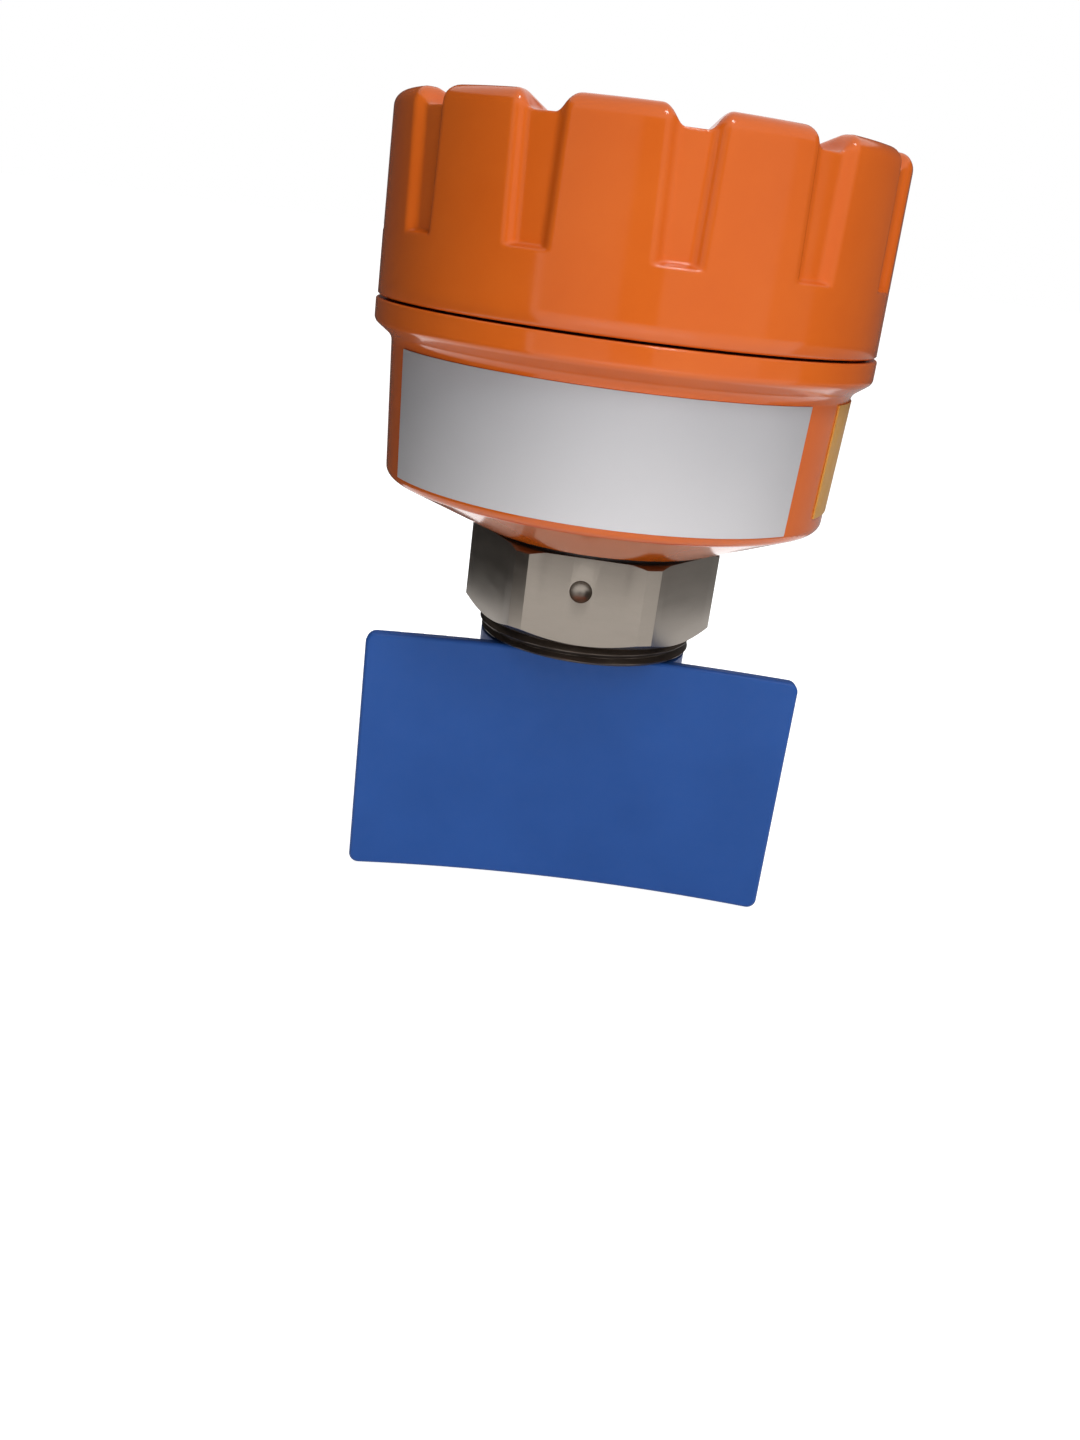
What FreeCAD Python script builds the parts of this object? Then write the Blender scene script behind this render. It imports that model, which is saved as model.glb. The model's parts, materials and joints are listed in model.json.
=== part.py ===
"""Rotary-paddle bin level switch, in millimetres, +Z up.

The origin is the centre of the hex's lower shoulder, on the axis of the process thread.
The nameplate, and so the front of the switch, faces -Y.
A bearing angle on the housing is counted from the front, positive towards +X.
"""
import FreeCAD
import Part
import math
import os

Vector = FreeCAD.Vector

# Clearances
running_fit = 0.05
seat_fit = 0.02
side_play = 0.3
end_play = 0.1

# Process connection: hex, taper thread of 1 1/2 inch size and the spigot into the housing
hex_across_flats = 50.0
hex_height = 19.0
hex_turn = -2.0
hex_corner_cut = 0.95
hex_chamfer_angle = 30.0
hex_lower_land = -0.3
hex_upper_land = 1.6
dimple_r = 2.4
dimple_depth = 1.5
dimple_height = 11.8
dimple_offset = -0.8
thread_r = 24.13
thread_length = 4.2
thread_end_chamfer = 0.8
spigot_r = 19.0
spigot_length = 17.0
gasket_inset = 0.4
gasket_thickness = 1.2

# Drive line
shaft_r = 5.0
shaft_collar_r = 7.0
bearing_r = 13.0
bearing_width = 8.0
bearing_ring_width = 2.0
shield_recess = 0.5
seal_width = 7.0
seal_lip_recess = 1.2
circlip_thickness = 1.0
circlip_depth = 1.1
circlip_width = 2.6
circlip_gap_angle = 50.0
bore_shoulder = 3.0
coupling_r = 9.0
coupling_length = 9.4
coupling_gap = 0.6
set_screw_r = 1.5
output_shaft_r = 4.0

# Vane
vane_width = 95.6
vane_height = 55.9
vane_thickness = 3.5
vane_bow = 4.0
vane_corner_r = 2.2
vane_edge_r = 0.9
vane_turn = 3.0
vane_front = 14.0
vane_web_half = 7.0
vane_running_gap = 0.6
vane_hub_r = 10.0
vane_hub_length = 36.0
vane_flange_r = 23.5
vane_flange_thickness = 3.0
vane_socket_floor = 3.0
vane_pin_r = 2.0
vane_pin_drop = 18.0

# Housing body
hub_r = 27.5
cone_height = 8.6
body_draft = 1.1
body_wall_height = 28.3
body_corner_r = 2.0
ogee_height = 2.8
ogee_r = 2.4
lip_overhang = 0.3
lip_step = 3.8
lip_height = 4.5
lip_corner_r = 1.6
neck_wall = 3.5
neck_height = 10.6
floor_thickness = 5.0
floor_corner_r = 3.5
spigot_boss_wall = 5.5
rim_round = 0.6
edge_round = 0.4
conduit_hub_r = 14.0
conduit_stand = 8.9
conduit_bore_r = 9.2
conduit_rise = 14.7
conduit_rim_chamfer = 0.8

# Labels, as bearing angles from the front and a thickness
nameplate_left = -60.8
nameplate_right = 49.5
side_label_left = 64.0
side_label_right = 112.0
label_margin = 1.3
nameplate_foot = 1.5
side_label_foot = 3.9
label_thickness = 0.3

# Cover
seam_gap = 0.5
cover_bottom_r = 52.6
cover_draft = 0.3
cover_height = 38.4
cover_edge_r = 3.2
cover_skirt = 5.6
cover_wall = 4.2
cover_cavity_play = 0.1
cover_shoulder_slope = 1.6
rim_width = 15.0
rim_land_width = 5.0
rim_rise = 4.0
rim_blend_r = 3.0
rim_groove_depth = 2.9
rim_groove_flare = 2.4
neck_top_gap = 0.4
slot_count = 12
slot_first = 8.3
slot_foot = 13.0
slot_depth = 5.0
slot_foot_back = 6.0
slot_foot_mouth = 8.2
slot_head_back = 6.8
slot_head_mouth = 9.4
slot_corner_r = 1.2
slot_foot_r = 0.5
slot_lip_r = 1.7
seal_section_r = 1.15
seal_inset = 2.7

# Chassis in the housing
boss_inset = 4.5
boss_r = 5.0
boss_angles = (50.0, 130.0, 230.0, 310.0)
coupling_room = 0.4
chassis_thickness = 1.6
chassis_rim_gap = 0.6
wire_notch_half = 13.0
wire_notch_start = 24.0
chassis_screw_r = 2.0
screw_head_r = 3.5
screw_head_height = 2.6
chassis_screw_grip = 8.0

# Swinging motor
swing_range = 7.5
pivot_bush_r = 11.0
bush_flange_r = 14.0
bush_flange_thickness = 1.2
swing_hub_r = 8.0
swing_hub_below = 1.6
swing_thickness = 2.0
swing_shaft_room = 0.6
arm_root_drop = 2.0
arm_tip_half = 3.5
arm_tip_r = 2.8
gear_case_size = 38.0
gear_case_height = 16.0
gear_case_corner_r = 4.0
gear_case_x = -7.0
gear_case_y = 3.0
gear_bore_depth = 8.0
motor_height = 18.0
motor_inset = 0.4
motor_edge_r = 2.0
motor_screw_r = 1.4
motor_screw_head_r = 2.4
motor_screw_head_height = 2.0
motor_screw_inset = 3.2
stop_pin_r = 2.0
stop_circle_r = 20.0
stop_angle = -25.0
trip_pin_r = 1.2
trip_pin_radius = 27.0
trip_ear = 2.4
trip_ear_r = 1.2
spring_post_r = 1.4
spring_pin_inset = 8.45
spring_pin_angle = -14.0
spring_anchor_inset = 3.3
spring_anchor_angle = -34.9
spring_wire_r = 0.45
spring_coil_r = 1.9
spring_turns = 6
spring_knuckle = 1.25
spring_rise = 3.2
post_top_room = 1.2

# Microswitches, stacked on spacers
switch_length = 20.0
switch_depth = 10.0
switch_thickness = 6.4
switch_x = 14.0
switch_y = 6.0
switch_lift = 0.7
switch_ear = 1.0
switch_ear_length = 2.4
lever_pivot_in = 1.5
lever_pivot_out = 0.9
lever_roll_r = 0.8
lever_pin_r = 0.45
lever_thickness = 0.6
lever_length = 17.0
lever_tilt = 20.0
lever_gap = 0.3
button_along = 4.5
button_r = 0.9
button_stand = 1.55
button_depth = 5.0
button_back_room = 2.0
blade_width = 2.8
blade_thickness = 0.5
blade_length = 3.4
blade_count = 3
switch_screw_r = 1.2
switch_screw_head_r = 2.3
switch_screw_head_height = 1.6
switch_screw_inset = 4.5
switch_screw_back = 3.0
spacer_r = 2.4

# Terminal block and ground screw
pole_count = 5
pole_pitch = 5.6
block_lug = 3.7
block_depth = 11.0
block_wall_gap = 7.0
block_base = 6.0
barrier_thickness = 1.2
barrier_height = 4.4
terminal_screw_r = 1.9
terminal_screw_height = 1.8
terminal_shank_r = 1.1
terminal_shank_depth = 3.5
block_lug_height = 2.6
ground_screw_inset = 4.9
ground_screw_angle = 211.2
ground_screw_r = 2.0
ground_head_r = 3.8

# Levels and radii that follow from the sizes above
hex_corner_r = hex_across_flats / 2 / math.cos(math.radians(30))
gasket_r = hex_across_flats / 2 - gasket_inset
lip_r = cover_bottom_r + lip_overhang
body_top_r = lip_r - lip_step
body_bottom_r = body_top_r - body_draft
cover_top_r = cover_bottom_r - cover_draft
neck_r = cover_bottom_r - cover_skirt
cavity_r = neck_r - neck_wall
cover_cavity_r = cavity_r + cover_cavity_play
rim_inner_r = cover_top_r - rim_width
seal_ring_r = cover_bottom_r - seal_inset
inner_boss_r = spigot_r + spigot_boss_wall
boss_circle_r = cavity_r - boss_inset
conduit_hub_reach = body_top_r + conduit_stand
conduit_hub_start = math.sqrt(cavity_r ** 2 - conduit_hub_r ** 2)
thread_end_z = -thread_length
hub_bottom_z = hex_height + gasket_thickness
body_corner_z = hub_bottom_z + cone_height
wall_top_z = body_corner_z + body_wall_height
lip_bottom_z = wall_top_z + ogee_height
seam_z = lip_bottom_z + lip_height
neck_top_z = seam_z + neck_height
spigot_top_z = hex_height + spigot_length
cone_slope = cone_height / (body_bottom_r - hub_r)
floor_rim_z = body_corner_z + floor_thickness
conduit_height = body_corner_z + conduit_rise
floor_hub_z = floor_rim_z - cone_slope * (cavity_r - inner_boss_r)
spigot_seat_r = spigot_r + seat_fit
cover_bottom_z = seam_z + seam_gap
cover_top_z = cover_bottom_z + cover_height
crown_z = cover_top_z - rim_rise
cover_bore_r = neck_r + side_play
shoulder_z = neck_top_z + neck_top_gap
slot_foot_z = cover_bottom_z + slot_foot
slot_back_r = cover_top_r - slot_depth
slot_reach = cover_bottom_r + edge_round
groove_z = cover_top_z - rim_groove_depth
seal_z = seam_z + running_fit + seal_section_r
lower_circlip_z = thread_end_z + end_play
seal_bottom_z = lower_circlip_z + circlip_thickness + end_play
lower_bearing_z = seal_bottom_z + seal_width + end_play
lower_shoulder_z = lower_bearing_z + bearing_width
upper_circlip_z = spigot_top_z - circlip_thickness - end_play
upper_bearing_z = upper_circlip_z - bearing_width - end_play
shaft_bore_r = bearing_r - bore_shoulder
coupling_z = spigot_top_z + coupling_gap
coupling_top_z = coupling_z + coupling_length
coupling_mid_z = coupling_z + coupling_length / 2
vane_top_z = thread_end_z - vane_running_gap
vane_bottom_z = vane_top_z - vane_height
vane_hub_bottom_z = vane_top_z - vane_hub_length
shaft_bottom_z = vane_hub_bottom_z + vane_socket_floor
vane_pin_z = vane_top_z - vane_pin_drop
chassis_height = coupling_top_z + coupling_room + swing_hub_below
chassis_top_z = chassis_height + chassis_thickness
swing_z = chassis_top_z + bush_flange_thickness + end_play
swing_top_z = swing_z + swing_thickness
swing_hub_bottom_z = chassis_height - swing_hub_below
swing_clip_z = chassis_height - end_play - circlip_thickness
gear_top_z = swing_top_z + gear_case_height
motor_r = gear_case_size / 2 - motor_inset
motor_top_z = gear_top_z + motor_height
spring_z = swing_top_z + spring_rise
post_top_z = spring_z + spring_wire_r + post_top_room
lower_switch_z = swing_top_z + switch_lift
upper_switch_z = lower_switch_z + switch_thickness
switch_top_z = upper_switch_z + switch_thickness
block_back_y = block_wall_gap + block_depth - cavity_r
lever_pivot_x = switch_x + lever_pivot_in
lever_pivot_y = switch_y - lever_pivot_out
lever_width = switch_thickness - 2 * (switch_ear + 2 * end_play)


def cylinder(radius, low, high, x=0.0, y=0.0):
    """Upright cylinder between two heights."""
    return Part.makeCylinder(radius, high - low, Vector(x, y, low))


def ring(inner, outer, low, high, x=0.0, y=0.0):
    """Upright ring between two heights."""
    return cylinder(outer, low, high, x, y).cut(cylinder(inner, low, high, x, y))


def box(x_low, x_high, y_low, y_high, low, high):
    """Box between its lowest and highest corners."""
    return Part.makeBox(x_high - x_low, y_high - y_low, high - low, Vector(x_low, y_low, low))


def turned_about_axis(shape, angle):
    """Copy of a shape, turned about the Z axis."""
    copy = shape.copy()
    copy.rotate(Vector(0, 0, 0), Vector(0, 0, 1), angle)
    return copy


def plan_angle(bearing):
    """Angle from +X of a bearing counted from the front."""
    return bearing - 90.0


def polar(radius, angle):
    """Plan point at an angle from +X."""
    return radius * math.cos(math.radians(angle)), radius * math.sin(math.radians(angle))


def rounded_wire(corners, place):
    """Closed wire through corners (u, v, rounding radius), set in space by place(u, v)."""
    stretches = []
    for index, (u, v, radius) in enumerate(corners):
        corner = Vector(u, v, 0)
        before = corners[index - 1]
        after = corners[(index + 1) % len(corners)]
        to_before = (Vector(before[0], before[1], 0) - corner).normalize()
        to_after = (Vector(after[0], after[1], 0) - corner).normalize()
        half_angle = to_before.getAngle(to_after) / 2
        reach = radius / math.tan(half_angle)
        start = corner + to_before * reach
        end = corner + to_after * reach
        middle = corner
        if radius > 0:
            bisector = (to_before + to_after).normalize()
            middle = corner + bisector * (radius / math.sin(half_angle) - radius)
        stretches.append((start, middle, end, radius))
    edges = []
    for index, (start, middle, end, radius) in enumerate(stretches):
        following = stretches[(index + 1) % len(stretches)][0]
        if radius > 0:
            arc = Part.Arc(place(start.x, start.y), place(middle.x, middle.y), place(end.x, end.y))
            edges.append(arc.toShape())
        edges.append(Part.LineSegment(place(end.x, end.y), place(following.x, following.y)).toShape())
    return Part.Wire(edges)


def revolved(corners, angle=360.0, start=0.0):
    """Solid of revolution about Z from corners (radius, height, rounding radius)."""
    profile = Part.Face(rounded_wire(corners, lambda u, v: Vector(u, 0, v)))
    solid = profile.revolve(Vector(0, 0, 0), Vector(0, 0, 1), angle)
    return turned_about_axis(solid, start)


def slab(corners, low, high):
    """Flat piece from plan corners (x, y, rounding radius) between two heights."""
    outline = Part.Face(rounded_wire(corners, lambda u, v: Vector(u, v, low)))
    return outline.extrude(Vector(0, 0, high - low))


def fused(shapes):
    """One solid from several that meet."""
    return shapes[0].multiFuse(shapes[1:]).removeSplitter()


def rectangle(x_low, x_high, y_low, y_high, radius):
    """Corners of a rectangle with one rounding radius."""
    plan = [(x_low, y_low), (x_high, y_low), (x_high, y_high), (x_low, y_high)]
    return [(x, y, radius) for x, y in plan]


def screw(head_r, head_height, shank_r, shank_length, x, y, seat):
    """Cap screw whose head sits on a face at height seat."""
    head = cylinder(head_r, seat, seat + head_height, x, y)
    shank = cylinder(shank_r, seat - shank_length, seat, x, y)
    return fused([head, shank])


def circlip(inner, outer, low):
    """Open ring, in a groove whose lower side is at a height."""
    whole = ring(inner, outer, low + seat_fit, low + circlip_thickness - seat_fit)
    far = 2 * outer
    gap_half = far * math.tan(math.radians(circlip_gap_angle / 2))
    gap = slab([(0, 0, 0), (far, -gap_half, 0), (far, gap_half, 0)], low, low + circlip_thickness)
    return whole.cut(gap)


def cross_bar(radius, reach, height):
    """Round bar along X through the axis, as long to both sides."""
    return Part.makeCylinder(radius, 2 * reach, Vector(-reach, 0, height), Vector(1, 0, 0))


def boss_places():
    """Plan points of the cast bosses that carry the chassis."""
    return [polar(boss_circle_r, angle) for angle in boss_angles]


spring_pin_x, spring_pin_y = polar(cavity_r - spring_pin_inset, spring_pin_angle)
spring_anchor_x, spring_anchor_y = polar(cavity_r - spring_anchor_inset, spring_anchor_angle)
ground_screw_x, ground_screw_y = polar(cavity_r - ground_screw_inset, ground_screw_angle)


# Process connection
def make_process_bushing():
    rise = math.tan(math.radians(hex_chamfer_angle))
    corners = []
    for index in range(6):
        x, y = polar(hex_corner_r, 60 * index + hex_turn)
        corners.append((x, y, 0))
    prism = slab(corners, 0, hex_height)
    bar_r = hex_corner_r - hex_corner_cut
    lower_land_r = hex_across_flats / 2 + hex_lower_land
    upper_land_r = hex_across_flats / 2 + hex_upper_land
    trim = revolved([
        (0, 0, 0),
        (lower_land_r, 0, 0),
        (bar_r, (bar_r - lower_land_r) * rise, 0),
        (bar_r, hex_height - (bar_r - upper_land_r) * rise, 0),
        (upper_land_r, hex_height, 0),
        (0, hex_height, 0),
    ])
    nut = prism.common(trim)
    thread = revolved([
        (0, thread_end_z, 0),
        (thread_r - thread_end_chamfer, thread_end_z, 0),
        (thread_r, thread_end_z + thread_end_chamfer, 0),
        (thread_r, 0, 0),
        (0, 0, 0),
    ])
    spigot = cylinder(spigot_r, hex_height, spigot_top_z)
    body = fused([nut, thread, spigot])
    groove_r = bearing_r + circlip_depth
    body = body.cut(cylinder(shaft_bore_r, thread_end_z, spigot_top_z))
    body = body.cut(cylinder(bearing_r, thread_end_z, lower_shoulder_z))
    body = body.cut(cylinder(bearing_r, upper_bearing_z, spigot_top_z))
    body = body.cut(cylinder(groove_r, lower_circlip_z, lower_circlip_z + circlip_thickness))
    body = body.cut(cylinder(groove_r, upper_circlip_z, upper_circlip_z + circlip_thickness))
    ball_r = (dimple_r ** 2 + dimple_depth ** 2) / (2 * dimple_depth)
    ball_out = hex_across_flats / 2 + ball_r - dimple_depth
    ball = Part.makeSphere(ball_r, Vector(dimple_offset, -ball_out, dimple_height))
    return body.cut(turned_about_axis(ball, hex_turn))


def make_bushing_gasket():
    return ring(spigot_seat_r, gasket_r, hex_height, hub_bottom_z)


# Drive line
def make_drive_shaft():
    collar_low = lower_shoulder_z + end_play
    collar_high = upper_bearing_z - end_play
    rod = cylinder(shaft_r, shaft_bottom_z, coupling_mid_z - end_play)
    collar = cylinder(shaft_collar_r, collar_low, collar_high)
    cross_hole = cross_bar(vane_pin_r + seat_fit, vane_hub_r, vane_pin_z)
    return turned_about_axis(fused([rod, collar]).cut(cross_hole), vane_turn)


def make_bearing(low):
    high = low + bearing_width
    inner = shaft_r + running_fit
    outer = bearing_r - seat_fit
    race = ring(inner, outer, low, high)
    shield_inner = inner + bearing_ring_width
    shield_outer = outer - bearing_ring_width
    race = race.cut(ring(shield_inner, shield_outer, low, low + shield_recess))
    return race.cut(ring(shield_inner, shield_outer, high - shield_recess, high))


def make_shaft_seal():
    inner = shaft_r + running_fit
    outer = bearing_r - seat_fit
    high = seal_bottom_z + seal_width
    lip_outer = outer - bearing_ring_width
    lip_inner = inner + bearing_ring_width
    body = ring(inner, outer, seal_bottom_z, high)
    recess = revolved([
        (inner + seal_lip_recess, seal_bottom_z, 0),
        (lip_outer, seal_bottom_z, 0),
        (lip_outer, seal_bottom_z + seal_lip_recess, 0),
        (lip_inner, seal_bottom_z + 2 * seal_lip_recess, 0),
    ])
    return body.cut(recess)


def make_internal_circlip(low):
    outer = bearing_r + circlip_depth - running_fit
    return circlip(outer - circlip_width, outer, low)


def make_drive_coupling():
    body = revolved([
        (shaft_r + seat_fit, coupling_z, edge_round),
        (coupling_r, coupling_z, edge_round),
        (coupling_r, coupling_top_z, edge_round),
        (output_shaft_r + seat_fit, coupling_top_z, edge_round),
        (output_shaft_r + seat_fit, coupling_mid_z, 0),
        (shaft_r + seat_fit, coupling_mid_z, 0),
    ])
    for height, _ in set_screw_places():
        hole = Part.makeCylinder(set_screw_r + seat_fit, coupling_r, Vector(0, 0, height), Vector(1, 0, 0))
        body = body.cut(hole)
    return body


def set_screw_places():
    """Height of each set screw and the radius of the shaft it bears on."""
    quarter = coupling_length / 4
    return [(coupling_z + quarter, shaft_r), (coupling_top_z - quarter, output_shaft_r)]


def make_coupling_set_screws():
    screws = []
    for height, bears_on in set_screw_places():
        start = bears_on + seat_fit
        grub = Part.makeCylinder(
            set_screw_r, coupling_r - edge_round - start, Vector(start, 0, height), Vector(1, 0, 0))
        screws.append(grub)
    return Part.makeCompound(screws)


def make_output_shaft():
    return cylinder(output_shaft_r, coupling_mid_z + end_play, swing_top_z + gear_bore_depth - side_play)


# Vane
def on_round_wall(edge, centre_y, radius):
    """Whether an edge lies on an upright round wall about (0, centre_y)."""
    for share in (0.0, 0.5, 1.0):
        point = edge.valueAt(edge.FirstParameter + share * (edge.LastParameter - edge.FirstParameter))
        if abs(math.hypot(point.x, point.y - centre_y) - radius) > seat_fit:
            return False
    return True


def make_vane():
    half = vane_width / 2
    bow_r = (half ** 2 + vane_bow ** 2) / (2 * vane_bow)
    centre_y = -vane_front - bow_r
    height = vane_top_z - vane_bottom_z
    front = Part.makeCylinder(bow_r, height, Vector(0, centre_y, vane_bottom_z))
    back = Part.makeCylinder(bow_r + vane_thickness, height, Vector(0, centre_y, vane_bottom_z))
    outline_wire = rounded_wire(
        rectangle(-half, half, vane_bottom_z, vane_top_z, vane_corner_r),
        lambda u, v: Vector(u, -vane_front - 2 * vane_bow, v))
    outline = Part.Face(outline_wire).extrude(Vector(0, 2 * vane_bow + vane_front, 0))
    sheet = outline.common(back).cut(front)
    rims = [edge for edge in sheet.Edges
            if on_round_wall(edge, centre_y, bow_r) or on_round_wall(edge, centre_y, bow_r + vane_thickness)]
    sheet = sheet.makeFillet(vane_edge_r, rims)
    hub = cylinder(vane_hub_r, vane_hub_bottom_z, vane_top_z)
    web_front = vane_thickness / 2 - vane_front
    web = box(-vane_web_half, vane_web_half, web_front, 0, vane_hub_bottom_z, vane_top_z)
    ahead = Part.makeCylinder(bow_r + vane_thickness / 2, height, Vector(0, centre_y, vane_bottom_z))
    flange = cylinder(vane_flange_r, vane_top_z - vane_flange_thickness, vane_top_z).cut(ahead)
    body = fused([sheet, hub, web, flange])
    body = body.cut(cylinder(shaft_r + seat_fit, shaft_bottom_z - end_play, vane_top_z))
    body = body.cut(cross_bar(vane_pin_r + seat_fit, 2 * vane_hub_r, vane_pin_z))
    return turned_about_axis(body, vane_turn)


def make_vane_pin():
    pin = cross_bar(vane_pin_r, vane_hub_r + end_play, vane_pin_z)
    return turned_about_axis(pin, vane_turn)


# Housing body
def make_housing_body():
    cup = revolved([
        (spigot_seat_r, hub_bottom_z, 0),
        (hub_r, hub_bottom_z, rim_round),
        (body_bottom_r, body_corner_z, body_corner_r),
        (body_top_r, wall_top_z, ogee_r),
        (lip_r, lip_bottom_z, lip_corner_r),
        (lip_r, seam_z, edge_round),
        (neck_r, seam_z, 0),
        (neck_r, neck_top_z, rim_round),
        (cavity_r, neck_top_z, rim_round),
        (cavity_r, floor_rim_z, floor_corner_r),
        (inner_boss_r, floor_hub_z, rim_round),
        (inner_boss_r, spigot_top_z, rim_round),
        (spigot_seat_r, spigot_top_z, 0),
    ])
    bosses = [cylinder(boss_r, body_corner_z, chassis_height, x, y) for x, y in boss_places()]
    body_shell = cylinder(body_bottom_r, body_corner_z, chassis_height)
    bosses = [boss.common(body_shell) for boss in bosses]
    body = fused([cup] + bosses)
    body = body.cut(conduit_bar(conduit_hub_r + seat_fit, inner_boss_r))
    for x, y in boss_places():
        depth = chassis_height - chassis_screw_grip - end_play
        body = body.cut(cylinder(chassis_screw_r + seat_fit, depth, chassis_height, x, y))
    return body


def conduit_bar(radius, start):
    """Round bar along the conduit entry, from a depth to the hub's outer face."""
    return Part.makeCylinder(
        radius, conduit_hub_reach - start, Vector(0, start, conduit_height), Vector(0, 1, 0))


def make_conduit_hub():
    hub = conduit_bar(conduit_hub_r, conduit_hub_start)
    rim_edges = [edge for edge in hub.Edges if edge.BoundBox.YMin > conduit_hub_reach - edge_round]
    hub = hub.makeChamfer(conduit_rim_chamfer, rim_edges)
    return hub.cut(conduit_bar(conduit_bore_r, conduit_hub_start))


def make_label(left, right, foot):
    """Thin plate on the drafted body wall between two bearings."""
    low = body_corner_z + foot
    high = wall_top_z - label_margin
    draft = (body_top_r - body_bottom_r) / body_wall_height
    low_r = body_bottom_r + draft * (low - body_corner_z) + seat_fit
    high_r = body_bottom_r + draft * (high - body_corner_z) + seat_fit
    return revolved([
        (low_r, low, 0),
        (low_r + label_thickness, low, 0),
        (high_r + label_thickness, high, 0),
        (high_r, high, 0),
    ], right - left, plan_angle(left))


# Cover
def slot_section(back, mouth, height):
    """Plan section of one grip slot, built towards +X at a height, with rounded lips at its mouth."""
    draft = cover_draft / cover_height
    wall_r = cover_bottom_r - draft * (height - cover_bottom_z)
    turn = math.degrees(math.asin(mouth / 2 / wall_r))
    lip_x, lip_y = polar(wall_r, turn)
    along_x, along_y = polar(2 * slot_lip_r, turn + 90.0)
    out_x = lip_x + along_x
    out_y = lip_y + along_y
    return rounded_wire([
        (slot_back_r, back / 2, slot_corner_r),
        (slot_back_r, -back / 2, slot_corner_r),
        (lip_x, -lip_y, slot_lip_r),
        (out_x, -out_y, 0),
        (slot_reach, -out_y, 0),
        (slot_reach, out_y, 0),
        (out_x, out_y, 0),
        (lip_x, lip_y, slot_lip_r),
    ], lambda u, v: Vector(u, v, height))


def make_slot_cutter():
    """One grip slot up the side, with its flared groove across the raised rim."""
    top = cover_top_z + edge_round
    upright = Part.makeLoft([
        slot_section(slot_foot_back, slot_foot_mouth, slot_foot_z),
        slot_section(slot_head_back, slot_head_mouth, top),
    ], True, True)
    foot_edges = [edge for edge in upright.Edges
                  if edge.BoundBox.ZMax < slot_foot_z + edge_round and edge.BoundBox.XMax < cover_top_r]
    upright = upright.makeFillet(slot_foot_r, foot_edges)
    half = slot_head_back / 2
    groove_start = rim_inner_r - rim_rise
    groove_wire = rounded_wire([
        (-half, groove_z, slot_corner_r),
        (half, groove_z, slot_corner_r),
        (half + rim_groove_flare, top, 0),
        (-half - rim_groove_flare, top, 0),
    ], lambda u, v: Vector(groove_start, u, v))
    groove = Part.Face(groove_wire).extrude(Vector(slot_reach - groove_start, 0, 0))
    return fused([upright, groove])


def make_cover():
    shell = revolved([
        (cover_bore_r, cover_bottom_z, edge_round),
        (cover_bottom_r, cover_bottom_z, edge_round),
        (cover_top_r, cover_top_z, cover_edge_r),
        (cover_top_r - rim_land_width, cover_top_z, rim_blend_r),
        (rim_inner_r, crown_z, rim_blend_r),
        (0, crown_z, 0),
        (0, crown_z - cover_wall, 0),
        (cover_cavity_r, crown_z - cover_wall, rim_blend_r),
        (cover_cavity_r, shoulder_z + cover_shoulder_slope, edge_round),
        (cover_bore_r, shoulder_z, 0),
    ])
    groove_inner = seal_ring_r - seal_section_r - running_fit
    groove_outer = seal_ring_r + seal_section_r + running_fit
    groove_top = seal_z + seal_section_r + running_fit
    shell = shell.cut(ring(groove_inner, groove_outer, cover_bottom_z, groove_top))
    cutter = make_slot_cutter()
    for index in range(slot_count):
        bearing = slot_first + 360.0 / slot_count * index
        shell = shell.cut(turned_about_axis(cutter, plan_angle(bearing)))
    return shell


def make_cover_seal():
    return Part.makeTorus(seal_ring_r, seal_section_r, Vector(0, 0, seal_z))


# Chassis
def make_chassis_plate():
    plate = cylinder(cavity_r - chassis_rim_gap, chassis_height, chassis_top_z)
    plate = plate.cut(box(
        -wire_notch_half, wire_notch_half, wire_notch_start, cavity_r, chassis_height, chassis_top_z))
    plate = plate.cut(cylinder(pivot_bush_r, chassis_height, chassis_top_z))
    holes = [(x, y, chassis_screw_r) for x, y in boss_places()]
    holes.append((ground_screw_x, ground_screw_y, ground_screw_r))
    holes.append((spring_anchor_x, spring_anchor_y, spring_post_r))
    stop_x, stop_y = polar(stop_circle_r, stop_angle)
    holes.append((stop_x, stop_y, stop_pin_r))
    holes += [(x, y, switch_screw_r) for x, y in switch_screw_places()]
    holes += [(x, y, switch_screw_r) for x, y in block_screw_places()]
    for x, y, radius in holes:
        plate = plate.cut(cylinder(radius + seat_fit, chassis_height, chassis_top_z, x, y))
    return plate


def make_chassis_screws():
    grip = chassis_thickness + chassis_screw_grip
    return Part.makeCompound([
        screw(screw_head_r, screw_head_height, chassis_screw_r, grip, x, y, chassis_top_z)
        for x, y in boss_places()])


def make_pivot_bush():
    sleeve = cylinder(pivot_bush_r - seat_fit, chassis_height, chassis_top_z)
    flange = cylinder(bush_flange_r, chassis_top_z, chassis_top_z + bush_flange_thickness)
    bore = cylinder(swing_hub_r + running_fit, chassis_height, chassis_top_z + bush_flange_thickness)
    return fused([sleeve, flange]).cut(bore)


# Swinging motor
def trip_pin_place():
    """Pin centre that stands one lever gap off the levers at rest."""
    reach = trip_pin_radius - lever_pivot_x
    tilt = math.radians(lever_tilt)
    lever_y = lever_pivot_y - reach * math.tan(tilt)
    stand_off = trip_pin_r + lever_gap + lever_thickness / 2
    return trip_pin_radius, lever_y - stand_off / math.cos(tilt)


def motor_screw_places():
    inset = gear_case_size / 2 - motor_screw_inset
    return [(gear_case_x + side_x * inset, gear_case_y + side_y * inset)
            for side_x in (-1, 1) for side_y in (-1, 1)]


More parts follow.
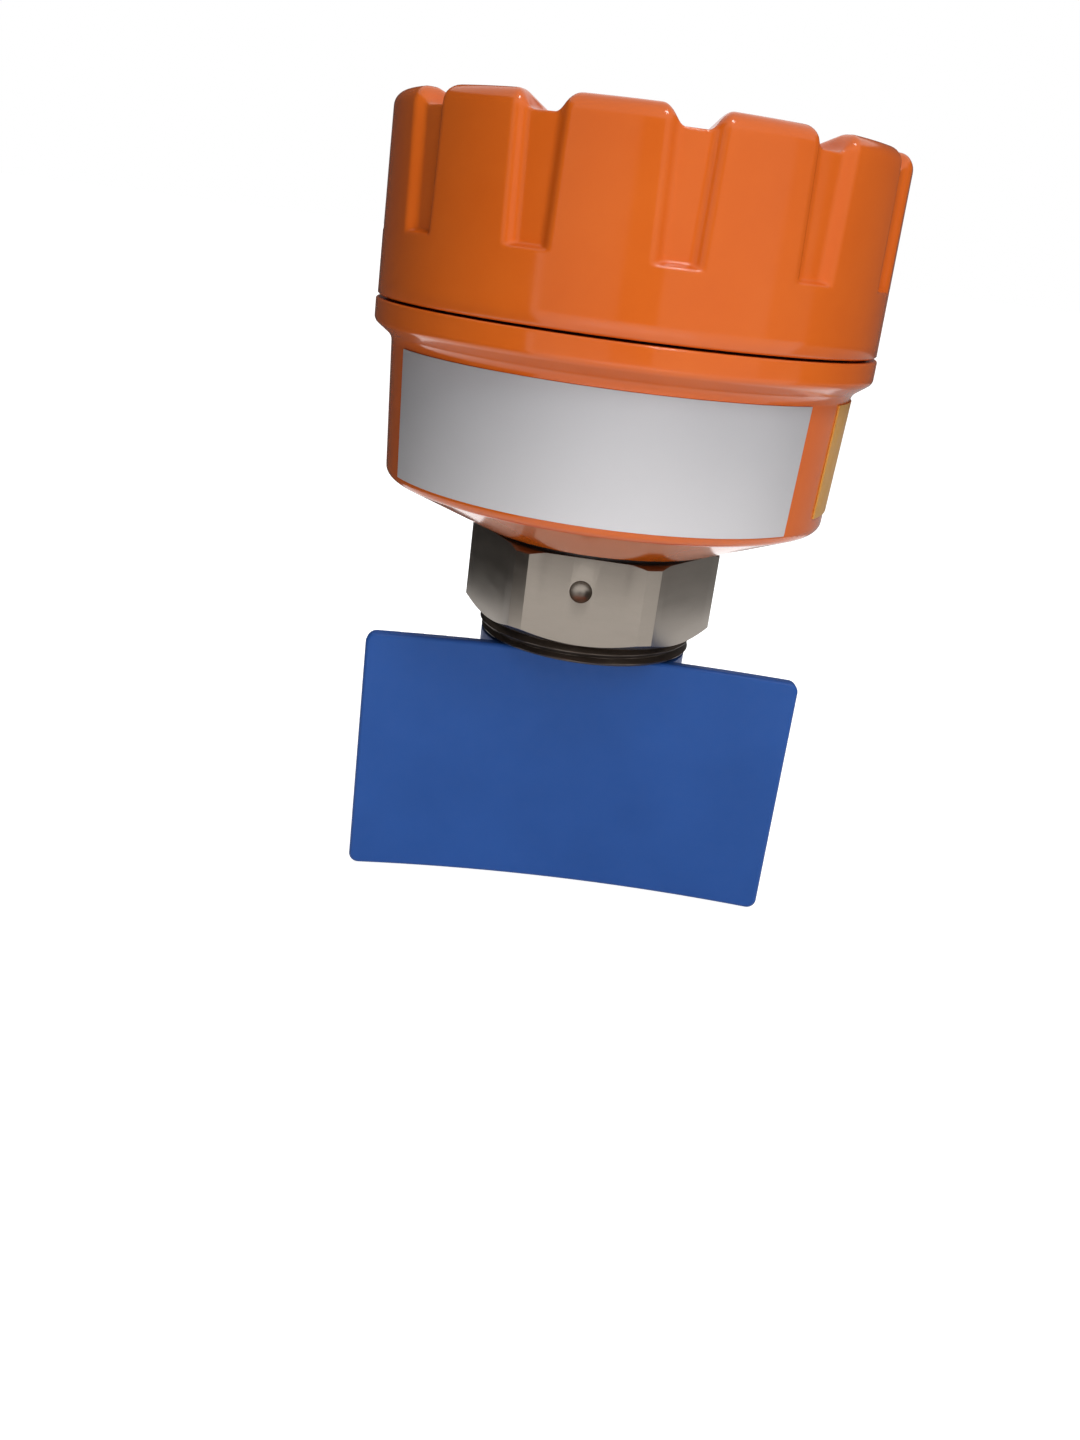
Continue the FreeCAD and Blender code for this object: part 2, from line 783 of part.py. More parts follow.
def stop_slot():
    """Arc slot round the stop pin, as long as the motor's swing."""
    half_width = stop_pin_r + side_play
    band = revolved([
        (stop_circle_r - half_width, swing_z, 0),
        (stop_circle_r + half_width, swing_z, 0),
        (stop_circle_r + half_width, swing_top_z, 0),
        (stop_circle_r - half_width, swing_top_z, 0),
    ], swing_range, stop_angle - swing_range)
    ends = []
    for angle in (stop_angle - swing_range, stop_angle):
        x, y = polar(stop_circle_r, angle)
        ends.append(cylinder(half_width, swing_z, swing_top_z, x, y))
    return fused([band] + ends)


def make_swing_plate():
    half = gear_case_size / 2
    left = gear_case_x - half
    right = gear_case_x + half
    front = gear_case_y - half
    back = gear_case_y + half
    trip_x, trip_y = trip_pin_place()
    tip_x = spring_pin_x + arm_tip_half
    plate = slab([
        (left, front, gear_case_corner_r),
        (right, front - arm_root_drop, gear_case_corner_r),
        (tip_x, spring_pin_y - arm_tip_half, arm_tip_r),
        (tip_x, spring_pin_y + arm_tip_half, arm_tip_r),
        (trip_x + trip_ear, trip_y + trip_ear, trip_ear_r),
        (right, trip_y + trip_ear, trip_ear_r),
        (right, back, gear_case_corner_r),
        (left, back, gear_case_corner_r),
    ], swing_z, swing_top_z)
    hub = cylinder(swing_hub_r, swing_hub_bottom_z, swing_top_z)
    plate = fused([plate, hub])
    plate = plate.cut(ring(
        swing_hub_r - circlip_depth, swing_hub_r, swing_clip_z, swing_clip_z + circlip_thickness))
    plate = plate.cut(cylinder(output_shaft_r + swing_shaft_room, swing_hub_bottom_z, swing_top_z))
    plate = plate.cut(stop_slot())
    holes = [(x, y, motor_screw_r) for x, y in motor_screw_places()]
    holes.append((trip_x, trip_y, trip_pin_r))
    holes.append((spring_pin_x, spring_pin_y, spring_post_r))
    for x, y, radius in holes:
        plate = plate.cut(cylinder(radius + seat_fit, swing_z, swing_top_z, x, y))
    return plate


def make_swing_circlip():
    inner = swing_hub_r - circlip_depth + running_fit
    return circlip(inner, inner + circlip_width, swing_clip_z)


def make_gear_case():
    half = gear_case_size / 2
    case = slab(rectangle(gear_case_x - half, gear_case_x + half, gear_case_y - half, gear_case_y + half,
                          gear_case_corner_r), swing_top_z, gear_top_z)
    case = case.cut(cylinder(output_shaft_r + side_play, swing_top_z, swing_top_z + gear_bore_depth))
    for x, y in motor_screw_places():
        case = case.cut(cylinder(motor_screw_r + seat_fit, swing_top_z, gear_top_z, x, y))
    return case


def make_motor_can():
    can = revolved([
        (0, gear_top_z, 0),
        (motor_r, gear_top_z, 0),
        (motor_r, motor_top_z, motor_edge_r),
        (0, motor_top_z, 0),
    ])
    can.translate(Vector(gear_case_x, gear_case_y, 0))
    return can


def make_motor_screws():
    grip = gear_case_height + swing_thickness
    return Part.makeCompound([
        screw(motor_screw_head_r, motor_screw_head_height, motor_screw_r, grip, x, y, gear_top_z)
        for x, y in motor_screw_places()])


def make_trip_pin():
    x, y = trip_pin_place()
    return cylinder(trip_pin_r, swing_z, switch_top_z, x, y)


def make_stop_pin():
    x, y = polar(stop_circle_r, stop_angle)
    return cylinder(stop_pin_r, chassis_height, swing_top_z - side_play, x, y)


def make_spring_pin():
    return cylinder(spring_post_r, swing_z, post_top_z, spring_pin_x, spring_pin_y)


def make_spring_anchor():
    return cylinder(spring_post_r, chassis_height, post_top_z, spring_anchor_x, spring_anchor_y)


def make_return_spring():
    """Extension spring: a coil whose wire ends in a U hook round each of the two posts."""
    start = Vector(spring_anchor_x, spring_anchor_y, spring_z)
    end = Vector(spring_pin_x, spring_pin_y, spring_z)
    along = (end - start).normalize()
    side = along.cross(Vector(0, 0, 1))
    down = along.cross(side)
    hook = spring_coil_r + 2 * spring_wire_r
    coil_length = start.distanceToPoint(end) - 2 * hook
    helix = Part.makeHelix(coil_length / spring_turns, coil_length, spring_coil_r)
    section = Part.Wire(Part.makeCircle(spring_wire_r, Vector(spring_coil_r, 0, 0), Vector(0, 1, 0)))
    coil = Part.Wire(helix.Edges).makePipeShell([section], True, True)
    coil.Placement = FreeCAD.Placement(start + along * hook, FreeCAD.Rotation(side, down, along, "ZXY"))
    pieces_of_wire = [coil]
    for post, inward in ((start, along), (end, along * -1)):
        beside = post + side * spring_coil_r
        corner = beside + inward * hook
        pieces_of_wire.append(Part.makeSphere(spring_wire_r * spring_knuckle, corner))
        pieces_of_wire.append(Part.makeCylinder(spring_wire_r, hook, beside, inward))
        bend = Part.makeTorus(spring_coil_r, spring_wire_r, post)
        reach = 2 * spring_coil_r
        keep = Part.makeBox(2 * reach, reach, reach, Vector(-reach, 0, -reach / 2))
        outward = inward * -1
        keep.Placement = FreeCAD.Placement(post, FreeCAD.Rotation(Vector(0, 1, 0), outward))
        pieces_of_wire.append(bend.common(keep))
    return fused(pieces_of_wire)


# Microswitches
def switch_screw_places():
    y = switch_y + switch_depth - switch_screw_back
    return [(switch_x + switch_screw_inset, y), (switch_x + switch_length - switch_screw_inset, y)]


def make_switch_case(low):
    high = low + switch_thickness
    case = slab(rectangle(switch_x, switch_x + switch_length, switch_y, switch_y + switch_depth, rim_round),
                low, high)
    ear_low_x = lever_pivot_x - switch_ear_length / 2
    ear_high_x = lever_pivot_x + switch_ear_length / 2
    ear_low_y = lever_pivot_y - switch_ear_length / 2
    lower_ear = box(ear_low_x, ear_high_x, ear_low_y, switch_y + rim_round, low, low + switch_ear)
    upper_ear = box(ear_low_x, ear_high_x, ear_low_y, switch_y + rim_round, high - switch_ear, high)
    case = fused([case, lower_ear, upper_ear])
    case = case.cut(cylinder(lever_pin_r + running_fit, low, high, lever_pivot_x, lever_pivot_y))
    for x, y in switch_screw_places():
        case = case.cut(cylinder(switch_screw_r + end_play, low, high, x, y))
    button_hole = Part.makeCylinder(
        button_r + running_fit, button_depth,
        Vector(lever_pivot_x + button_along, switch_y, low + switch_thickness / 2), Vector(0, 1, 0))
    return case.cut(button_hole)


def make_switch_lever(low):
    middle = low + switch_thickness / 2
    half = lever_width / 2
    roll = cylinder(lever_roll_r, middle - half, middle + half, lever_pivot_x, lever_pivot_y)
    pin = cylinder(lever_pin_r, low, low + switch_thickness, lever_pivot_x, lever_pivot_y)
    strip = box(0, lever_length, -lever_thickness / 2, lever_thickness / 2, middle - half, middle + half)
    strip.rotate(Vector(0, 0, 0), Vector(0, 0, 1), -lever_tilt)
    strip.translate(Vector(lever_pivot_x, lever_pivot_y, 0))
    return fused([roll, pin, strip])


def make_switch_button(low):
    held_length = button_depth - button_back_room
    return Part.makeCylinder(
        button_r, button_stand + held_length,
        Vector(lever_pivot_x + button_along, switch_y - button_stand, low + switch_thickness / 2),
        Vector(0, 1, 0))


def make_switch_blades(low):
    middle = low + switch_thickness / 2
    back = switch_y + switch_depth
    pitch = (switch_length - 2 * blade_width) / (blade_count - 1)
    blades = []
    for index in range(blade_count):
        x = switch_x + blade_width + pitch * index
        blades.append(box(x - blade_width / 2, x + blade_width / 2, back, back + blade_length,
                          middle - blade_thickness / 2, middle + blade_thickness / 2))
    return Part.makeCompound(blades)


def make_switch_spacers():
    return Part.makeCompound([
        ring(switch_screw_r + end_play, spacer_r, chassis_top_z, lower_switch_z, x, y)
        for x, y in switch_screw_places()])


def make_switch_screws():
    grip = switch_top_z - chassis_height
    return Part.makeCompound([
        screw(switch_screw_head_r, switch_screw_head_height, switch_screw_r, grip, x, y, switch_top_z)
        for x, y in switch_screw_places()])


# Terminal block and ground screw
def block_half():
    return pole_count * pole_pitch / 2 + block_lug


def block_middle_y():
    return block_back_y - block_depth / 2


def block_screw_places():
    x = block_half() - block_lug / 2
    return [(-x, block_middle_y()), (x, block_middle_y())]


def pole_places():
    first = -(pole_count - 1) * pole_pitch / 2
    return [(first + pole_pitch * index, block_middle_y()) for index in range(pole_count)]


def make_terminal_block():
    half = block_half()
    front = block_back_y - block_depth
    base_top = chassis_top_z + block_base
    lugs = box(-half, half, front, block_back_y, chassis_top_z, chassis_top_z + block_lug_height)
    poles_half = half - block_lug
    base = box(-poles_half, poles_half, front, block_back_y, chassis_top_z, base_top)
    barriers = []
    for index in range(pole_count + 1):
        middle = -poles_half + pole_pitch * index
        low_x = max(middle - barrier_thickness / 2, -poles_half)
        high_x = min(middle + barrier_thickness / 2, poles_half)
        barriers.append(box(low_x, high_x, front, block_back_y, base_top, base_top + barrier_height))
    block = fused([lugs, base] + barriers)
    for x, y in pole_places():
        depth = base_top - terminal_shank_depth
        block = block.cut(cylinder(terminal_shank_r + seat_fit, depth, base_top, x, y))
    for x, y in block_screw_places():
        block = block.cut(cylinder(switch_screw_r + seat_fit, chassis_top_z, base_top, x, y))
    return block


def make_terminal_screws():
    seat = chassis_top_z + block_base
    grip = terminal_shank_depth - end_play
    return Part.makeCompound([
        screw(terminal_screw_r, terminal_screw_height, terminal_shank_r, grip, x, y, seat)
        for x, y in pole_places()])


def make_block_screws():
    seat = chassis_top_z + block_lug_height
    grip = block_lug_height + chassis_thickness
    head_r = block_lug / 2 - end_play
    return Part.makeCompound([
        screw(head_r, switch_screw_head_height, switch_screw_r, grip, x, y, seat)
        for x, y in block_screw_places()])


def make_ground_screw():
    return screw(ground_head_r, screw_head_height, ground_screw_r, chassis_thickness,
                 ground_screw_x, ground_screw_y, chassis_top_z)


pieces = {
    "housing_body": make_housing_body(),
    "conduit_hub": make_conduit_hub(),
    "cover": make_cover(),
    "cover_seal": make_cover_seal(),
    "nameplate": make_label(nameplate_left, nameplate_right, nameplate_foot),
    "side_label": make_label(side_label_left, side_label_right, side_label_foot),
    "process_bushing": make_process_bushing(),
    "bushing_gasket": make_bushing_gasket(),
    "drive_shaft": make_drive_shaft(),
    "lower_bearing": make_bearing(lower_bearing_z),
    "upper_bearing": make_bearing(upper_bearing_z),
    "shaft_seal": make_shaft_seal(),
    "seal_circlip": make_internal_circlip(lower_circlip_z),
    "bearing_circlip": make_internal_circlip(upper_circlip_z),
    "drive_coupling": make_drive_coupling(),
    "coupling_set_screws": make_coupling_set_screws(),
    "output_shaft": make_output_shaft(),
    "vane": make_vane(),
    "vane_pin": make_vane_pin(),
    "chassis_plate": make_chassis_plate(),
    "chassis_screws": make_chassis_screws(),
    "pivot_bush": make_pivot_bush(),
    "swing_plate": make_swing_plate(),
    "swing_circlip": make_swing_circlip(),
    "gear_case": make_gear_case(),
    "motor_can": make_motor_can(),
    "motor_screws": make_motor_screws(),
    "trip_pin": make_trip_pin(),
    "stop_pin": make_stop_pin(),
    "spring_pin": make_spring_pin(),
    "spring_anchor": make_spring_anchor(),
    "return_spring": make_return_spring(),
    "switch_spacers": make_switch_spacers(),
    "switch_screws": make_switch_screws(),
    "terminal_block": make_terminal_block(),
    "terminal_screws": make_terminal_screws(),
    "block_screws": make_block_screws(),
    "ground_screw": make_ground_screw(),
}
for level, low in (("lower", lower_switch_z), ("upper", upper_switch_z)):
    pieces[level + "_switch_case"] = make_switch_case(low)
    pieces[level + "_switch_lever"] = make_switch_lever(low)
    pieces[level + "_switch_button"] = make_switch_button(low)
    pieces[level + "_switch_blades"] = make_switch_blades(low)

os.makedirs("parts", exist_ok=True)
for name, shape in pieces.items():
    shape.exportStep("parts/" + name + ".step")
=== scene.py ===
"""Looks of a rotary-paddle bin level switch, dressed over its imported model, in metres and degrees.

The origin is the centre of the hex's lower shoulder. +Z is up and the nameplate faces -Y.
Angles about Z count from +X, so the front is at front_angle.
"""
import bpy
import bmesh
import json
import math
from mathutils import Matrix, Vector


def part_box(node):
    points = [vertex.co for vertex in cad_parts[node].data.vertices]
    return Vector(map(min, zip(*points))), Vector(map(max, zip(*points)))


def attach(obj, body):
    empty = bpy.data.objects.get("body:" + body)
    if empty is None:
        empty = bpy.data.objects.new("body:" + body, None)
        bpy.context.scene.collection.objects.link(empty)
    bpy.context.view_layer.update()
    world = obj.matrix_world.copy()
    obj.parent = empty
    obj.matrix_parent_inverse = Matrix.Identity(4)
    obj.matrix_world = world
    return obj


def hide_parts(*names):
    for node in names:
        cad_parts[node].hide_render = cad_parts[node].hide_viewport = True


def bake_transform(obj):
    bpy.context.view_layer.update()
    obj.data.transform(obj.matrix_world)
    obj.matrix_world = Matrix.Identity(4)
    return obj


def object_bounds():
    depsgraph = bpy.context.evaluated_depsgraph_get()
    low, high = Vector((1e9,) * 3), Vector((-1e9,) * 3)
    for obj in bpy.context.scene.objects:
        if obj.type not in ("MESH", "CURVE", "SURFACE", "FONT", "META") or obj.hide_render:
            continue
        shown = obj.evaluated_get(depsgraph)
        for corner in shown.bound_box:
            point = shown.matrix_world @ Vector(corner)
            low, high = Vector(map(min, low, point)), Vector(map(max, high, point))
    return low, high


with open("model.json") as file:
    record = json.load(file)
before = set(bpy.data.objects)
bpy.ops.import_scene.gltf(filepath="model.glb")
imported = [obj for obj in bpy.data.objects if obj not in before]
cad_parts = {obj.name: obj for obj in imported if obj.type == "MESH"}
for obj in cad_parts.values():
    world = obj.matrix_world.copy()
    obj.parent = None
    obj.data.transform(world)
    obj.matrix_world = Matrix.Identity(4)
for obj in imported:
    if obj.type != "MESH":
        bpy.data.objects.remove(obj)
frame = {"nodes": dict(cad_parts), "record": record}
nodes = frame["nodes"]
record = frame["record"]
cad_low, cad_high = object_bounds()
quarter_turn = 90.0
front_angle = -quarter_turn

# Camera, where the photograph was taken from
camera_place = (0.0, -0.2891, 0.0797)
camera_pan = -1.444
camera_down = 20.225
camera_roll = 7.415
camera_lens = 32.485
camera_sensor = 36.0
camera_near = 0.01

# Studio. A soft box has its name, place, aim, width and height, and power
soft_boxes = (
    ("key_box", (0.14, -0.35, 0.28), (0.0, 0.0, 0.06), (0.30, 0.22), 0.60),
    ("low_box", (0.02, -0.34, -0.045), (0.0, 0.0, 0.03), (0.30, 0.08), 0.60),
    ("back_box", (-0.13, 0.32, 0.34), (0.0, 0.0, 0.05), (0.34, 0.26), 1.5),
)
glint_from = (0.24, -0.48, 0.84)
glint_strength = 1.1
glint_angle = 14.0
world_bright = 0.30
world_dim = 0.03
floor_shade = 0.50
floor_glow = 0.92
floor_reach = 30.0
floor_drop = 0.0004

# Grey cards around the object, which only reflections show: name, first and last angle from the
# front towards the right, radius, lowest and highest level, and shade
cards = (
    ("left_card", -165, -36, 0.20, -0.06, 0.24, 0.055),
    ("front_left_card", -36, -5, 0.40, 0.03, 0.24, 0.55),
    ("front_card", -5, 12, 0.40, 0.03, 0.24, 0.15),
    ("front_right_card", 12, 57, 0.40, 0.03, 0.24, 0.70),
    ("near_right_card", 57, 84, 0.40, 0.03, 0.24, 0.36),
    ("right_card", 75, 165, 0.24, 0.03, 0.24, 0.10),
    ("low_right_card", 75, 165, 0.24, -0.06, 0.03, 0.38),
)
card_steps = 12

# Hex of the process connection, with its dimple and its bores
hex_flats = 0.050
hex_height = 0.019
hex_turn = -2.0
hex_sides = 6
hex_side_angle = 360 / hex_sides
hex_bar_r = 0.0279175
hex_lower_land_r = 0.0247
hex_upper_land_r = 0.0266
hex_chamfer = 30.0
hex_chamfer_slope = math.tan(math.radians(hex_chamfer))
hex_edge_bevel = 0.00035
hex_bevel_steps = 3
hex_bevel_from = 12.0
hex_flat_steps = 16
hex_corner_steps = 4
dimple_r = 0.0024
dimple_depth = 0.0015
dimple_height = 0.0118
dimple_offset = -0.0008
dimple_segments = 64
dimple_rings = 32
spigot_r = 0.019
bearing_seat_r = 0.013
shaft_bore_r = 0.010

# Pipe thread under the hex. Its flat is the share of a half turn that a crest or a root takes
thread_r = 0.02413
thread_pitch = 0.00221
thread_depth = 0.0013
thread_flat = 0.06
thread_taper = 1 / 32
thread_end_chamfer = 0.0008
thread_rows_per_turn = 20

# Threads that show when the cover is off, and in the conduit hub
neck_r = 0.047
neck_thread_pitch = 0.0020
neck_thread_height = 0.00024
neck_thread_margin = 0.0012
conduit_bore_r = 0.0092
conduit_thread_pitch = 0.00181
conduit_thread_height = 0.0006
conduit_thread_turns = 6
conduit_thread_steps = 96

# Ridge of these threads: its half width as a share of the pitch, the share of that at the crest,
# the share of its height that is sunk in the wall, the turns that it runs out over, and the share
# of its height that is left at its ends
ridge_half = 0.42
ridge_crest = 0.25
ridge_sunk = 0.2
ridge_runout = 1 / 6
ridge_end = 0.05

# Section of the cover
cover_r = 0.0526
cover_top_r = 0.0523
cover_edge_r = 0.0032
cover_land_r = 0.0473
cover_rim_r = 0.0373
cover_blend_r = 0.0030
cover_rim_rise = 0.0040
cover_wall = 0.0042
cover_bore_r = 0.0473
cover_cavity_r = 0.0436
cover_shoulder = 0.0105
cover_shoulder_slope = 0.0016
cover_round = 0.0004
seal_groove_inner_r = 0.0487
seal_groove_outer_r = 0.0511
seal_groove_depth = 0.0019

# Grip slots of the cover, shallower and softer than the solid's, and their notches in the rim
slot_count = 12
slot_first = 8.3
slot_foot = 0.0128
slot_depth = 0.0016
slot_foot_slope = 2.6
slot_foot_half = 0.0043
slot_head_half = 0.0050
slot_soft = 0.0008
notch_depth = 0.0034
notch_half = 0.0028
notch_slope = 1.6
notch_inner_r = 0.0415
notch_soft = 0.0020
notch_corner_soft = 0.0012

# Fineness of the cover's mesh: columns at each slot and on each lug, rows on each stretch of the
# section, and how far the fine rows go below and above a slot's foot and below the rim
slot_fine_reach = 0.0090
slot_fine_step = 0.0004
lug_steps = 4
arc_steps = 10
crown_rows = 2
rim_rows = 12
land_rows = 4
notch_rows = 6
slot_rows = 8
slot_foot_rows = 22
skirt_rows = 4
foot_reach_below = 2 * slot_soft
foot_reach_above = slot_depth + 3 * slot_soft
notch_reach = notch_depth + 2 * notch_soft

# Screws: node, slot, height of the head and radius of the shank
screws = (
    ("chassis_screws", "zinc_plate", 0.0026, 0.0020),
    ("motor_screws", "zinc_plate", 0.0020, 0.0014),
    ("terminal_screws", "brass", 0.0018, 0.0011),
    ("switch_screws", "zinc_plate", 0.0016, 0.0012),
    ("block_screws", "zinc_plate", 0.0016, 0.0012),
    ("ground_screw", "brass", 0.0026, 0.0020),
)

# Form of a screw, in shares of its head and shank, with the steps of its mesh and the turn of its
# recess. head_dome is a power, and below 1 it makes the dome fuller than a ball
tip_width = 0.8
tip_length = 0.3
head_seat_width = 0.97
head_seat_rise = 0.08
head_dome = 0.35
dome_steps = 9
screw_steps = 48
recess_width = 0.22
recess_length = 0.62
recess_depth = 0.45
recess_turn = 20.0

# Radius that the paint gives to sharp edges, and how much surfaces mirror
paint_edge_r = 0.0007
edge_samples = 6
paint_mirror = 0.42
vane_mirror = 0.25
usual_mirror = 0.5

# Noise in the materials: its own roughness, the range where most of it lies, the stretch of an even
# grain, and the cloud in a fade
noise_rough = 0.55
noise_low = 0.3
noise_high = 0.7
even = (1.0, 1.0, 1.0)
fade_cloud = 0.08
fade_cloud_scale = 30.0

# Columns of the turned meshes, the distance within which points join, and the angles from which
# edges stay sharp
turn_steps = 180
weld_distance = 1e-6
sharp_hex = 40.0
sharp_section = 50.0
sharp_fine = 35.0


# Helpers for meshes
def scene_object(name, data):
    made = bpy.data.objects.new(name, data)
    bpy.context.scene.collection.objects.link(made)
    return made


def mesh_object(name, points, faces):
    mesh = bpy.data.meshes.new(name)
    mesh.from_pydata([tuple(point) for point in points], [], faces)
    mesh.validate()
    return scene_object(name, mesh)


def mend(made, weld=False, fill=False):
    """Turns the faces outwards, after joining points that meet or closing open ends if asked."""
    shell = bmesh.new()
    shell.from_mesh(made.data)
    if weld:
        bmesh.ops.remove_doubles(shell, verts=shell.verts, dist=weld_distance)
    if fill:
        bmesh.ops.holes_fill(shell, edges=shell.edges)
    bmesh.ops.recalc_face_normals(shell, faces=shell.faces)
    shell.to_mesh(made.data)
    shell.free()


def smooth(made, sharp_from):
    made.data.shade_smooth()
    made.data.set_sharp_from_angle(angle=math.radians(sharp_from))


def coat(made, finish):
    made.data.materials.clear()
    made.data.materials.append(materials[finish])


def dress(made, body, slot, finish=None):
    """Gives a new piece its material, and the body that it moves with."""
    coat(made, finish or slot)
    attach(made, body)


def columns_mesh(name, columns, closed_turn=True):
    """Skin over columns of points, where each column is a closed loop as long as the next."""
    rows = len(columns[0])
    points = [point for column in columns for point in column]
    faces = []
    count = len(columns)
    for index in range(count if closed_turn else count - 1):
        following = (index + 1) % count
        for row in range(rows):
            above = (row + 1) % rows
            faces.append((index * rows + row, following * rows + row,
                          following * rows + above, index * rows + above))
    return mesh_object(name, points, faces)


def around(radius, height, angle):
    """Point at a radius and a height, with its angle about Z in radians."""
    return Vector((radius * math.cos(angle), radius * math.sin(angle), height))


def applied(made):
    """Turns the modifiers of a piece into its own mesh."""
    graph = bpy.context.evaluated_depsgraph_get()
    mesh = bpy.data.meshes.new_from_object(made.evaluated_get(graph))
    made.modifiers.clear()
    made.data = mesh


def cut_away(made, name, tool):
    cut = made.modifiers.new(name, "BOOLEAN")
    cut.object = tool
    cut.solver = "EXACT"


def islands(node):
    """Boxes of the separate solids in a node, each as its lowest and highest corner."""
    shell = bmesh.new()
    shell.from_mesh(nodes[node].data)
    bmesh.ops.remove_doubles(shell, verts=shell.verts, dist=weld_distance)
    waiting = set(shell.verts)
    boxes = []
    for seed in shell.verts:
        if seed not in waiting:
            continue
        waiting.remove(seed)
        reached = [seed]
        group = []
        while reached:
            vertex = reached.pop()
            group.append(vertex.co.copy())
            for edge in vertex.link_edges:
                other = edge.other_vert(vertex)
                if other in waiting:
                    waiting.remove(other)
                    reached.append(other)
        low = Vector([min(point[axis] for point in group) for axis in range(3)])
        high = Vector([max(point[axis] for point in group) for axis in range(3)])
        boxes.append((low, high))
    shell.free()
    return boxes


# Helpers for materials
def linear(red, green, blue):
    """Colour for a shader from its usual 0 to 255 values, by the standard curve of such values."""
    shades = []
    for value in (red, green, blue):
        share = value / 255
        shades.append(share / 12.92 if share <= 0.04045 else ((share + 0.055) / 1.055) ** 2.4)
    return (*shades, 1.0)


def grey(shade):
    return (shade, shade, shade, 1.0)


class Finish:
    """A material in the making: its principled shader and the nodes that vary it."""

    def __init__(self, name, metal, roughness, mirror=usual_mirror):
        self.material = bpy.data.materials.new(name)
        self.material.use_nodes = True
        self.tree = self.material.node_tree
        self.shader = self.tree.nodes["Principled BSDF"]
        self.place = self.tree.nodes.new("ShaderNodeTexCoord").outputs["Object"]
        self.shader.inputs["Metallic"].default_value = metal
        self.shader.inputs["Roughness"].default_value = roughness
        self.shader.inputs["Specular IOR Level"].default_value = mirror

    def node(self, kind, **settings):
        made = self.tree.nodes.new(kind)
        for name, value in settings.items():
            setattr(made, name, value)
        return made

    def join(self, output, target):
        self.tree.links.new(output, target)

    def noise(self, scale, detail=3.0, stretch=even):
        """Noise over the piece's own coordinates, with scale in waves per metre."""
        mapping = self.node("ShaderNodeMapping")
        mapping.inputs["Scale"].default_value = stretch
        self.join(self.place, mapping.inputs["Vector"])
        made = self.node("ShaderNodeTexNoise")
        made.inputs["Scale"].default_value = scale
        made.inputs["Detail"].default_value = detail
        made.inputs["Roughness"].default_value = noise_rough
        self.join(mapping.outputs["Vector"], made.inputs["Vector"])
        return made.outputs["Fac"]

    def spread(self, source, low, high, start=noise_low, end=noise_high):
        """A source's range from start to end, laid out between two values."""
        made = self.node("ShaderNodeMapRange")
        made.inputs["From Min"].default_value = start
        made.inputs["From Max"].default_value = end
        made.inputs["To Min"].default_value = low
        made.inputs["To Max"].default_value = high
        self.join(source, made.inputs["Value"])
        return made.outputs["Result"]

    def colour(self, source, dark, light, start=noise_low, end=noise_high):
        """Base colour that goes from dark to light over a source's range."""
        ramp = self.node("ShaderNodeValToRGB")
        ramp.color_ramp.elements[0].position = start
        ramp.color_ramp.elements[0].color = dark
        ramp.color_ramp.elements[1].position = end
        ramp.color_ramp.elements[1].color = light
        self.join(source, ramp.inputs["Fac"])
        self.join(ramp.outputs["Color"], self.shader.inputs["Base Color"])

    def fade(self, axis, start, end, first, last):
        """Colour that changes evenly between two places along an axis, with a little cloud in it."""
        apart = self.node("ShaderNodeSeparateXYZ")
        self.join(self.place, apart.inputs["Vector"])
        along = self.spread(apart.outputs[axis], 0.0, 1.0, start, end)
        cloud = self.spread(self.noise(fade_cloud_scale), -fade_cloud, fade_cloud)
        both = self.node("ShaderNodeMath", operation="ADD")
        self.join(along, both.inputs[0])
        self.join(cloud, both.inputs[1])
        self.colour(both.outputs["Value"], first, last, 0.0, 1.0)

    def roughness(self, source, low, high):
        self.join(self.spread(source, low, high), self.shader.inputs["Roughness"])

    def bump(self, source, depth, strength, edge_r=0.0):
        """Fine relief, over edges that look rounded to a radius."""
        made = self.node("ShaderNodeBump")
        made.inputs["Distance"].default_value = depth
        made.inputs["Strength"].default_value = strength
        self.join(source, made.inputs["Height"])
        if edge_r > 0:
            edge = self.node("ShaderNodeBevel", samples=edge_samples)
            edge.inputs["Radius"].default_value = edge_r
            self.join(edge.outputs["Normal"], made.inputs["Normal"])
        self.join(made.outputs["Normal"], self.shader.inputs["Normal"])


# Materials
def paint_finish():
    finish = Finish("housing_paint", metal=0.0, roughness=0.12, mirror=paint_mirror)
    cloud = finish.noise(scale=38.0, detail=4.0)
    finish.colour(cloud, dark=linear(210, 95, 24), light=linear(216, 102, 29))
    finish.roughness(finish.noise(scale=120.0), low=0.09, high=0.15)
    ripple = finish.noise(scale=240.0, detail=1.0)
    finish.bump(ripple, depth=0.00003, strength=0.12, edge_r=paint_edge_r)
    return finish.material


def rubber_finish():
    finish = Finish("black_rubber", metal=0.0, roughness=0.7)
    finish.colour(finish.noise(scale=420.0), dark=linear(18, 17, 17), light=linear(34, 32, 31))
    finish.roughness(finish.noise(scale=700.0), low=0.6, high=0.85)
    finish.bump(finish.noise(scale=1600.0, detail=2.0), depth=0.00005, strength=0.5)
    return finish.material


def foil_finish():
    finish = Finish("label_foil", metal=0.05, roughness=0.42)
    low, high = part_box("nameplate")
    # Painted shade: the foil is darker at the top and lighter towards the bottom, as the light falls on it
    finish.fade("Z", high.z, low.z, first=linear(171, 170, 173), last=linear(197, 195, 197))
    finish.roughness(finish.noise(scale=120.0), low=0.42, high=0.5)
    finish.bump(finish.noise(scale=600.0, detail=2.0), depth=0.00001, strength=0.15)
    return finish.material


def yellow_finish():
    finish = Finish("yellow_label", metal=0.0, roughness=0.35)
    finish.colour(finish.noise(scale=90.0), dark=linear(204, 147, 58), light=linear(212, 156, 68))
    finish.roughness(finish.noise(scale=300.0), low=0.3, high=0.42)
    finish.bump(finish.noise(scale=700.0), depth=0.00001, strength=0.3)
    return finish.material


